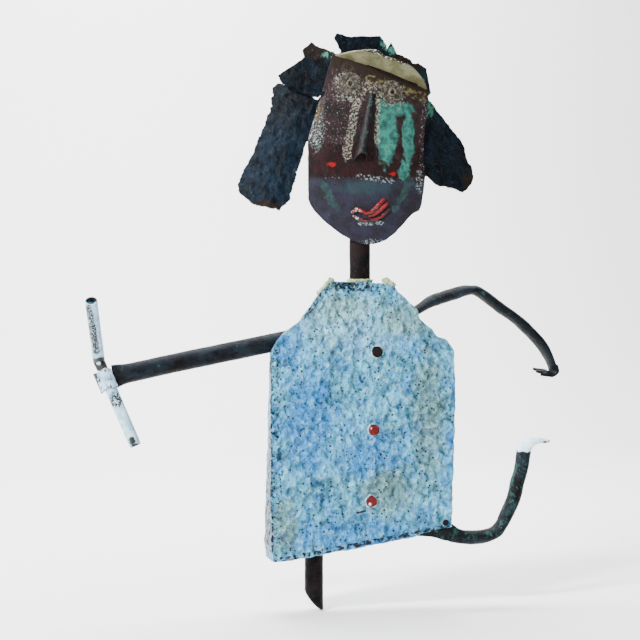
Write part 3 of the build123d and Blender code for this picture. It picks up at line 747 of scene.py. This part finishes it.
def dress_dents(point):
    calm = calm_near_fittings(point.x, point.z) if point.y < -10 else 1.0
    flat = Vector((point.x, point.y * 0.4, point.z))
    push = 1.6 * rough(flat, 42, 2, 1) + 1.2 * rough(flat, 15, 2, 2)
    push += 4.2 * (hammered(flat, 12, 1) - 0.45) + 2.0 * (hammered(flat, 7, 2) - 0.45)
    sideways = 0.9 * rough(point, 22, 3, 3) + 0.45 * rough(point, 6, 2, 4)
    upwards = 0.9 * rough(point, 20, 3, 5) + 0.5 * rough(point, 5, 2, 6)
    return sideways * calm, push * calm, upwards * calm


def build_dress(enamel):
    front = cut_fine(copy_of("dress_front"), (2.2, 3.2, 2.2))
    add_piece(warp(front, dress_dents), "dress_front_hammered", enamel, ["dress_front"])
    back = cut_fine(copy_of("dress_back"), (3.2, 0, 3.2))
    add_piece(warp(back, dress_dents), "dress_back_hammered", enamel, ["dress_back"])


def paint_rim(x, z, radius, thickness, seed):
    """The ring of thick paint that has built up round a stud."""
    points, radii = [], []
    for step in range(25):
        angle = 2 * math.pi * step / 24
        wobble = 1 + 0.07 * math.sin(3 * angle + seed) + 0.05 * math.sin(5 * angle + 2 * seed)
        px, pz = x + radius * wobble * math.cos(angle), z + radius * wobble * math.sin(angle)
        points.append((px, front_y(pz) - 0.1, pz))
        radii.append(thickness * (1 + 0.25 * math.sin(2 * angle + seed)))
    return bead_mesh(points, radii, 0.4)


def build_studs(rim, red, dark):
    for index, (name, (x, z)) in enumerate(BUTTONS.items()):
        stud = swell(remeshed(copy_of(name), 0.35), lambda p: 0.28 * rough(p, 3.0, 3, 11))
        material, slot = (dark, "dark_patina") if name == "button_top" else (red, "button_red")
        add_piece(stud, name + "_worn", material, [name], 60)
        add_piece(paint_rim(x, z, 7.0, 0.95, index + 1), name + "_rim", rim)
    rivet = swell(remeshed(copy_of("hem_rivet"), 0.3), lambda p: 0.25 * rough(p, 2.4, 3, 12))
    add_piece(rivet, "hem_rivet_worn", dark, ["hem_rivet"], 60)


# ---------- the head ----------

def face_dents(point):
    crease_x = 14 + (point.z - 597) * 0.19
    in_flange = ramp(point.z, 528, 546) * ramp(point.z, 600, 588)
    back = 0.8 * max(crease_x - point.x, 0) * in_flange
    push = back + 1.1 * rough(point, 48, 2, 21) + 0.35 * rough(point, 11, 2, 22)
    calm = ramp(math.hypot(point.x - 62, (point.z - 552) * 0.5), 14, 34)
    edge = 0.5 * rough(point, 7, 3, 23)
    return edge, push * (0.25 + 0.75 * calm), 0.5 * rough(point, 8, 3, 24)


def hair_dents(amount, jag, gutter=None):
    """Waves and dents for a cut of sheet with ragged edges. gutter(point) bends it across its length."""
    def shift(point):
        push = amount * rough(point, 26, 2, 31) + 0.55 * amount * rough(point, 9, 2, 32)
        push += 0.5 * amount * (hammered(point, 10, 33) - 0.4)
        tuck = 0.0
        if gutter:
            push += gutter(point)
        if gutter is long_strip_gutter:
            tuck = strip_tuck(point)
            push += 0.4 * tuck
        side = 0.23 * push + jag * (rough(point, 6.5, 3, 34) + 0.5 * rough(point, 2.6, 2, 35))
        rise = tuck + jag * (rough(point, 6.0, 3, 36) + 0.5 * rough(point, 2.4, 2, 37))
        return side, push, rise
    return shift


def long_strip_gutter(point):
    """The long strip curls back along both sides and its left side is snipped."""
    middle = -60 + (point.z - 480) * 0.40
    across = (point.x - middle) / 26
    return 3.5 * min(across * across, 2.0)


def strip_tuck(point):
    """The strip's top right corner runs up behind the wedge."""
    return 5.0 * ramp(point.x, 2, 12) * ramp(point.z, 574, 589)


def lobe_gutter(point):
    return 5.0 * ramp(point.x, 160, 206) * ramp(point.z, 560, 500)


def wedge_gutter(point):
    """Two pressed ridges along the wedge's lower edge."""
    slant = point.z - 596 + 0.10 * (point.x + 20)
    return -2.2 * math.exp(-(slant / 2.4) ** 2) + 1.8 * math.exp(-((slant - 6) / 2.6) ** 2)


HAIR = {
    "hair_left_long": (1.9, 1.9, long_strip_gutter),
    "hair_left_upper": (1.1, 0.8, wedge_gutter),
    "hair_left_small": (0.5, 0.7, None),
    "hair_top_tall": (0.7, 0.8, None),
    "hair_top_spike": (0.3, 0.4, None),
    "hair_right_band": (0.6, 0.9, None),
    "hair_right_lobe": (1.4, 1.0, lobe_gutter),
}


def build_hair(patina):
    for node, (amount, jag, gutter) in HAIR.items():
        sheet = cut_fine(copy_of(node), (1.5, 0, 1.5))
        add_piece(warp(sheet, hair_dents(amount, jag, gutter)), node + "_cut", patina, [node])


FACE_RADIUS = 430
FACE_X = 64.5
FACE_Y = -10.7


def on_face(x, z, lift=0.0):
    reach = FACE_RADIUS + lift
    return Vector((x, FACE_Y + FACE_RADIUS - math.sqrt(reach ** 2 - (x - FACE_X) ** 2), z))


# A short cut of tube in section, as radius and height above the face, widest at its foot.
EYE_RING = [
    (2.7, -0.6), (2.7, 3.2), (3.1, 3.9), (3.8, 4.1), (4.6, 3.7), (4.9, 2.9), (5.2, 0.9), (5.6, -0.6),
]


def build_eyes(pad_paint, ring_paint):
    for side, (x, z) in {"left": (42, 605), "right": (94.5, 597)}.items():
        pad = swell(remeshed(copy_of(f"eye_pad_{side}"), 0.5), lambda p: 0.35 + 0.7 * rough(p, 4.5, 3, 41))
        add_piece(pad, f"eye_pad_{side}_worn", pad_paint, [f"eye_pad_{side}"], 60)
        centre = on_face(x, z)
        spin = Matrix.Translation(centre) @ Matrix.Rotation(math.radians(90), 4, "X")
        ring = turned(EYE_RING, spin, 51)
        add_piece(ring, f"eye_ring_{side}_worn", ring_paint, [f"eye_ring_{side}"])


def turned(profile, place, seed, sides=40):
    """A closed ring turned from a profile of (radius, height) points, a little out of true."""
    mesh = bmesh.new()
    rings = []
    for radius, height in profile:
        ring = []
        for side in range(sides):
            angle = 2 * math.pi * side / sides
            point = Vector((radius * math.cos(angle), radius * math.sin(angle), height))
            point *= 1 + 0.06 * rough(point, 3.0, 2, seed)
            ring.append(mesh.verts.new(place @ point))
        rings.append(ring)
    for ring, following in zip(rings, rings[1:] + rings[:1]):
        for side in range(sides):
            after = (side + 1) % sides
            mesh.faces.new((ring[side], ring[after], following[after], following[side]))
    return mesh


def lip_strand(places, radii, seed):
    points = [on_face(x, z, 0.5) for x, z in places]
    return swell(bead_mesh(points, radii, 0.35), lambda p: 0.3 * rough(p, 2.6, 3, seed))


def build_mouth(bright, dark):
    upper = [(45, 451.5), (51, 455), (57, 452.5), (63, 450), (70, 452.5), (77, 460), (83.5, 466.5)]
    add_piece(lip_strand(upper, [1.9, 2.6, 2.5, 2.3, 2.9, 3.0, 2.3], 61), "upper_lip_bead", bright,
              ["upper_lip"], 60)
    inner = [(66, 446.5), (73, 449.5), (80, 455), (88, 462.5)]
    add_piece(lip_strand(inner, [1.5, 2.2, 2.6, 2.1], 62), "upper_lip_inner_bead", bright, (), 60)
    lower = [(47, 446.5), (53, 443), (61, 441.5), (71, 442.5), (81, 446.5), (91, 455)]
    add_piece(lip_strand(lower, [1.8, 2.3, 2.2, 2.2, 2.1, 1.7], 63), "lower_lip_bead", dark,
              ["lower_lip"], 60)


def visor_shift(point):
    sag = 1.2 * rough(point, 30, 2, 71)
    jag = 0.9 * rough(point, 5, 3, 72)
    return jag, sag + 0.6 * rough(point, 7, 2, 73), 0.8 * rough(point, 12, 3, 74)


def nose_shift(point):
    """Dents, and a pinch that narrows the channel towards its open end."""
    axis_x = 55 + (point.z - 508) * 0.163
    pinch = -0.24 * (point.x - axis_x) * ramp(point.z, 585, 530) - 1.5 * ramp(point.z, 570, 515)
    return pinch + 0.35 * rough(point, 9, 2, 75), 0.4 * rough(point, 8, 2, 76), 0


def build_head(paints):
    face = cut_fine(copy_of("face_plate"), (1.8, 0, 1.8))
    add_piece(warp(face, face_dents), "face_plate_beaten", paints["face"], ["face_plate"])
    nose = cut_fine(copy_of("nose_channel"), (1.2, 1.2, 1.6))
    add_piece(warp(nose, nose_shift), "nose_channel_bent", paints["nose"], ["nose_channel"])
    visor = cut_fine(copy_of("visor_plate"), (1.6, 1.6, 0))
    add_piece(warp(visor, visor_shift), "visor_plate_cut", paints["visor"], ["visor_plate"])
    build_eyes(paints["pad"], paints["ring"])
    build_mouth(paints["lip"], paints["lip_dark"])
    build_hair(paints["hair"])


# ---------- limbs ----------

def light_dents(depth, size, seed):
    """The slight unevenness of a tube that is still round."""
    def dent(point, angle, share):
        return depth * rough(point, size, 3, seed) + 0.12 * rough(point, 3, 2, seed + 1)
    return dent


def arm_dents(point, angle, share):
    """Crush lines: one runs down the arm's front face, and folds cross it at the elbow."""
    groove = 1.5 * math.exp(-((angle - 4.5) / 0.5) ** 2) * ramp(share, 0.10, 0.3) * ramp(share, 0.95, 0.75)
    elbow = 1.5 * math.exp(-((point.x - 197) / 6.0) ** 2) * max(math.cos(angle), -0.3)
    return groove + elbow + 0.5 * rough(point, 14, 2, 81) + 0.15 * rough(point, 3, 2, 82)


def kick_dents(point, angle, share):
    groove = 1.7 * math.exp(-((angle - 4.9) / 0.45) ** 2) * ramp(point.x, 175, 200)
    knee = 1.6 * math.exp(-((point.x - 229) / 5.0) ** 2) * ramp(point.z, 82, 70) * max(math.cos(angle), -0.2)
    return groove + knee + 0.55 * rough(point, 15, 2, 83) + 0.15 * rough(point, 3, 2, 84)


LEFT_ARM = [
    (-16, 0, 302, 22.2, 22.2), (-85, -8, 288.5, 22.2, 22.2), (-155, -16, 275, 22.2, 22.2),
    (-214, -23, 263, 22.2, 22.2), (-226, -24.5, 260.6, 22.8, 20), (-234, -25.5, 259, 25, 13),
    (-240, -27, 257.5, 27, 6.5),
]
STICK_TOP = Vector((-270, -85, 343))
STICK_BEND = Vector((-257, -25, 275))
STICK_END = Vector((-218, -50, 180))
RIGHT_ARM = [
    (98, -1, 316, 11, 23), (114, -1, 326, 11, 23), (130, -1, 335, 11, 24), (145, -1, 344, 14, 25),
    (164, -1, 350.5, 15, 25), (183, -2, 356.5, 14, 25), (193, -2.5, 359, 13, 25), (199, -3, 359.5, 12.5, 25),
    (204, -3.4, 358, 12.5, 25), (215, -4, 351, 12.5, 25), (234, -5, 337, 12.5, 25), (249, -6, 327, 12.5, 25),
    (265, -7, 314, 12.5, 25), (279, -8, 300.5, 12.5, 26), (288.5, -9, 288.5, 11.5, 27),
    (296.5, -10, 274, 7.5, 29), (301.5, -10, 262, 3.4, 30),
]
LEG_TAB_Y = -27.6
KICKING_LEG = [
    (116, LEG_TAB_Y, 73.5, 19, 3.4), (140, LEG_TAB_Y, 72, 22, 3.4), (158, LEG_TAB_Y, 67, 22, 3.4),
    (164, -26, 64.5, 20, 7), (170, -24, 61.5, 18, 13), (182, -20, 58.5, 17, 21),
    (196, -18, 57.5, 17, 25), (212, -17, 59, 16, 25),
    (224, -16, 63.5, 14.5, 25), (232, -16, 73, 14, 25), (238, -16, 84, 15, 25), (247, -16, 102, 16, 25),
    (252, -16, 121, 16, 25), (257, -16, 138, 15.5, 25), (260, -16, 156, 16, 26), (262.5, -16, 165, 15, 27),
    (267, -16, 170.5, 12, 28), (274, -16, 173.0, 9, 28), (281, -16, 173.6, 7, 27), (290, -16, 173.0, 5, 24),
]
TUBE_RADIUS = 11.1
TUBE_WALL = 1.14
HAND_LENGTH = 22
HAND_SHARE = 0.22


def hand_strip():
    """The arm's flattened end, wrapped round the front of the stick and turned out at the left."""
    run = (STICK_END - STICK_BEND).normalized()
    right = Vector((-run.z, 0, run.x)).normalized()
    front = run.cross(right)
    middle = STICK_BEND + (STICK_END - STICK_BEND) * HAND_SHARE
    spots = []
    for step in range(44):
        angle = math.radians(-58 + 6 * step)
        reach = 6.5 + 0.25 * math.sin(3 * angle)
        spots.append((right * math.cos(angle) + front * math.sin(angle), reach))
    inner, outer = [], []
    for index, (ray, reach) in enumerate(spots):
        flare = 0.55 * max(index - 35, 0)
        inner_row, outer_row = [], []
        for j in range(23):
            ragged = 2.6 * math.sin(index * 0.35) + 1.6 * rough((index, 0, j), 6, 2, 91)
            along = (j / 22 - 0.5) * (HAND_LENGTH + ragged)
            centre = middle + run * along
            bumps = 0.35 * rough(centre + ray * reach, 5, 2, 92)
            inner_row.append(centre + ray * (reach + flare + bumps))
            outer_row.append(centre + ray * (reach + 2.1 + flare + bumps))
        inner.append(inner_row)
        outer.append(outer_row)
    return slab_from_grid(outer, inner)


def right_hand():
    """The pinched end of the right arm, folded over to the left, with a torn tip."""
    path = [
        (300.6, 267), (302.2, 262), (302.8, 259), (301.6, 256.9), (298, 256.3), (290, 256.8), (279, 258.4),
    ]
    rows = smooth_between([(x, 0, z) for x, z in path], 0.9)
    top, bottom = [], []
    last = len(rows) - 1
    for i, row in enumerate(rows):
        ahead, behind = rows[min(i + 1, last)], rows[max(i - 1, 0)]
        run = Vector((ahead[0] - behind[0], 0, ahead[2] - behind[2])).normalized()
        normal = Vector((run.z, 0, -run.x))
        fold = ramp(i / last, 0.25, 0.5)
        top_row, bottom_row = [], []
        for j in range(29):
            across = j / 28 * 2 - 1
            width = 14.5 - 1.5 * fold
            tear = 5.5 * rough((0, across * 10, 0), 5, 3, 93) + 6 * max(0, 1 - abs(across - 0.1) / 0.3) - 3
            stretch = max(i / last - 0.75, 0) / 0.25 * tear
            centre = Vector((row[0] - stretch, -10 - across * width, row[2] - 3.4 * across * fold))
            centre += Vector((0, 0, 0.5 * rough((row[0], across * 14, 0), 6, 2, 94)))
            top_row.append(centre + normal * 1.3)
            bottom_row.append(centre - normal * 1.3)
        top.append(top_row)
        bottom.append(bottom_row)
    return slab_from_grid(top, bottom)


def stick_stations():
    lean_in = (STICK_BEND - STICK_TOP).normalized()
    lean_out = (STICK_END - STICK_BEND).normalized()
    places = [
        (STICK_TOP, 13.5, 13.5), (STICK_TOP + lean_in * 40, 13.5, 13.5),
        (STICK_BEND - lean_in * 8, 13.5, 13.0), (STICK_BEND, 13.4, 10.8),
        (STICK_BEND + lean_out * 8, 12.8, 12.6), (STICK_BEND + lean_out * 50, 13.5, 13.5),
        (STICK_END - lean_out * 14, 13.4, 13.0), (STICK_END, 12.9, 9.6),
    ]
    return [(*place, across, depth) for place, across, depth in places]


def standing_leg():
    """The round leg, cut on the same slant as the CAD foot."""
    stations = [(0, 0, z, 2 * TUBE_RADIUS, 2 * TUBE_RADIUS) for z in (-24.5, 40, 100, 150)]
    mesh = tube(stations, TUBE_WALL, light_dents(0.18, 16, 95), 1.6)
    slope_x, slope_y = 0.92, 0.60
    normal = Vector((slope_x, -slope_y, 1))
    low = Vector((0, 0, -TUBE_RADIUS * math.hypot(slope_x, slope_y)))
    geometry = mesh.verts[:] + mesh.edges[:] + mesh.faces[:]
    cut = bmesh.ops.bisect_plane(
        mesh, geom=geometry, dist=0.0001, plane_co=low, plane_no=normal, clear_inner=True
    )
    edges = [item for item in cut["geom_cut"] if isinstance(item, bmesh.types.BMEdge)]
    bmesh.ops.bridge_loops(mesh, edges=edges)
    return mesh


def build_limbs(paints):
    arm = tube(LEFT_ARM, TUBE_WALL, light_dents(0.22, 18, 85))
    add_piece(arm, "left_arm_tube_worn", paints["left_arm"], ["left_arm_tube"])
    add_piece(hand_strip(), "left_hand_strip", paints["hand"])
    stick = tube(stick_stations(), 1.0, light_dents(0.12, 8, 87), 1.4, 36)
    add_piece(stick, "stick_tube_flaking", paints["stick"], ["stick_tube"])
    arm = tube(RIGHT_ARM, TUBE_WALL, arm_dents)
    add_piece(arm, "right_arm_tube_crushed", paints["right_arm"], ["right_arm_tube"], 50)
    add_piece(right_hand(), "right_hand_folded", paints["right_arm"])
    add_piece(standing_leg(), "standing_leg_tube_worn", paints["leg"], ["standing_leg_tube"])
    leg = tube(KICKING_LEG, TUBE_WALL, kick_dents)
    add_piece(leg, "kicking_leg_tube_crushed", paints["kick"], ["kicking_leg_tube"], 50)
    stations = [(NECK_X, 0, z, 25.4, 18.2) for z in (296, 360, 430, 505)]
    neck = tube(stations, TUBE_WALL, light_dents(0.3, 16, 89))
    add_piece(neck, "neck_tube_worn", paints["neck"], ["neck_tube"])


# ---------- welds and braze ----------

def build_welds(cream, braze, dark):
    painted = {"collar_weld_left": 1.3, "collar_weld_right": 1.5, "neck_braze_ring": 0.8}
    for node, lumps in painted.items():
        blob = swell(remeshed(copy_of(node), 0.5), lambda p, k=lumps: k * (0.25 + rough(p, 4.2, 3, 97)))
        add_piece(blob, node + "_lumps", cream, [node], 70)
    hidden = ["visor_weld", "hair_braze_left", "hair_braze_top", "hair_braze_right", "neck_face_braze",
              "neck_inner_braze", "left_arm_inner_braze", "right_arm_inner_braze", "standing_leg_inner_braze"]
    for node in hidden:
        blob = swell(remeshed(copy_of(node), 0.5), lambda p: 0.35 * rough(p, 3.2, 3, 98))
        slot, material = ("dark_patina", dark) if node == "visor_weld" else ("bare_braze", braze)
        add_piece(blob, node + "_lumps", material, [node], 70)


# ---------- floor, light and camera ----------

FLOOR_Z = -0.0252


def backdrop():
    """A sheet of pale paper that lies under the figure and curves up behind it."""
    mesh = bmesh.new()
    profile = [(-6.0, FLOOR_Z), (1.6, FLOOR_Z)]
    for step in range(1, 17):
        angle = math.radians(90 * step / 16)
        profile.append((1.6 + 1.2 * math.sin(angle), FLOOR_Z + 1.2 * (1 - math.cos(angle))))
    profile.append((2.8, 7.0))
    rows = [[mesh.verts.new((x, y, z)) for x in (-7, 7)] for y, z in profile]
    for row, following in zip(rows, rows[1:]):
        mesh.faces.new((row[0], row[1], following[1], following[0]))
    data = bpy.data.meshes.new("backdrop")
    mesh.to_mesh(data)
    mesh.free()
    data.polygons.foreach_set("use_smooth", [True] * len(data.polygons))
    paper = bpy.data.materials.new("paper")
    paper.use_nodes = True
    shader = paper.node_tree.nodes["Principled BSDF"]
    shader.inputs["Base Color"].default_value = (0.85, 0.85, 0.85, 1)
    shader.inputs["Roughness"].default_value = 0.95
    shader.inputs["Specular IOR Level"].default_value = 0.1
    data.materials.append(paper)
    sheet = bpy.data.objects.new("backdrop", data)
    bpy.context.collection.objects.link(sheet)


def build_stage():
    backdrop()
    world = bpy.data.worlds.new("studio")
    world.use_nodes = True
    world.node_tree.nodes["Background"].inputs["Color"].default_value = (1.0, 1.0, 1.0, 1)
    world.node_tree.nodes["Background"].inputs["Strength"].default_value = 0.42
    bpy.context.scene.world = world
    lamp("key", (-1.75, -1.15, 1.75), (0, 0, 0.32), 0.45, 200)
    lamp("wash_low", (0.0, 0.75, 2.2), (0, 1.9, 0.0), 1.6, 150)
    lamp("wash_high", (0.0, 0.9, 2.6), (0, 2.8, 1.2), 1.6, 120)


def lamp(name, place, target, size, power):
    """A soft lamp at a place, turned towards a target. The washes light only the paper behind the figure."""
    data = bpy.data.lights.new(name, "AREA")
    data.size = size
    data.energy = power
    obj = bpy.data.objects.new(name, data)
    obj.location = place
    obj.rotation_euler = (Vector(target) - Vector(place)).to_track_quat("-Z", "Y").to_euler()
    bpy.context.collection.objects.link(obj)


def build_camera():
    """Level with the middle of the figure, 13 degrees round to the figure's left-hand side as seen."""
    turn = math.radians(-13)
    reach = 1.7067
    target = Vector((0.0075, 0, 0.322))
    data = bpy.data.cameras.new("camera")
    data.lens = 80
    data.sensor_width = 36
    camera = bpy.data.objects.new("camera", data)
    camera.location = target + Vector((math.sin(turn), -math.cos(turn), 0)) * reach
    camera.rotation_euler = (target - camera.location).to_track_quat("-Z", "Y").to_euler()
    bpy.context.collection.objects.link(camera)
    bpy.context.scene.camera = camera


# ---------- the whole figure ----------

enamel = dress_enamel()
dark = plain_patina("dark_stud", 0.1, 0.1, 7)
build_dress(enamel)
build_studs(rim_paint(), button_red(), dark)
build_head({
    "face": face_paint(), "nose": nose_finish(), "visor": cream_visor(),
    "pad": worn_cream("eye_pad_paint", 111, 0.47), "ring": worn_cream("eye_ring_paint", 121, 0.60),
    "lip": lip_red("lip_bright", 131, 0.52), "lip_dark": lip_red("lip_lined", 141, 0.44),
    "hair": hair_patina(),
})
build_limbs({
    "left_arm": plain_patina("left_arm_patina", 0.95, 0.55, 1),
    "hand": flaking_white("hand_paint", hand_flakes, 11),
    "stick": flaking_white("stick_paint", stick_flakes, 21), "right_arm": right_arm_finish(),
    "leg": plain_patina("leg_patina", 0.15, 0.3, 51), "kick": kicking_leg_finish(),
    "neck": plain_patina("neck_patina", 0.05, 0.2, 61),
})
build_welds(weld_cream(), bare_braze(), dark)
build_stage()
build_camera()
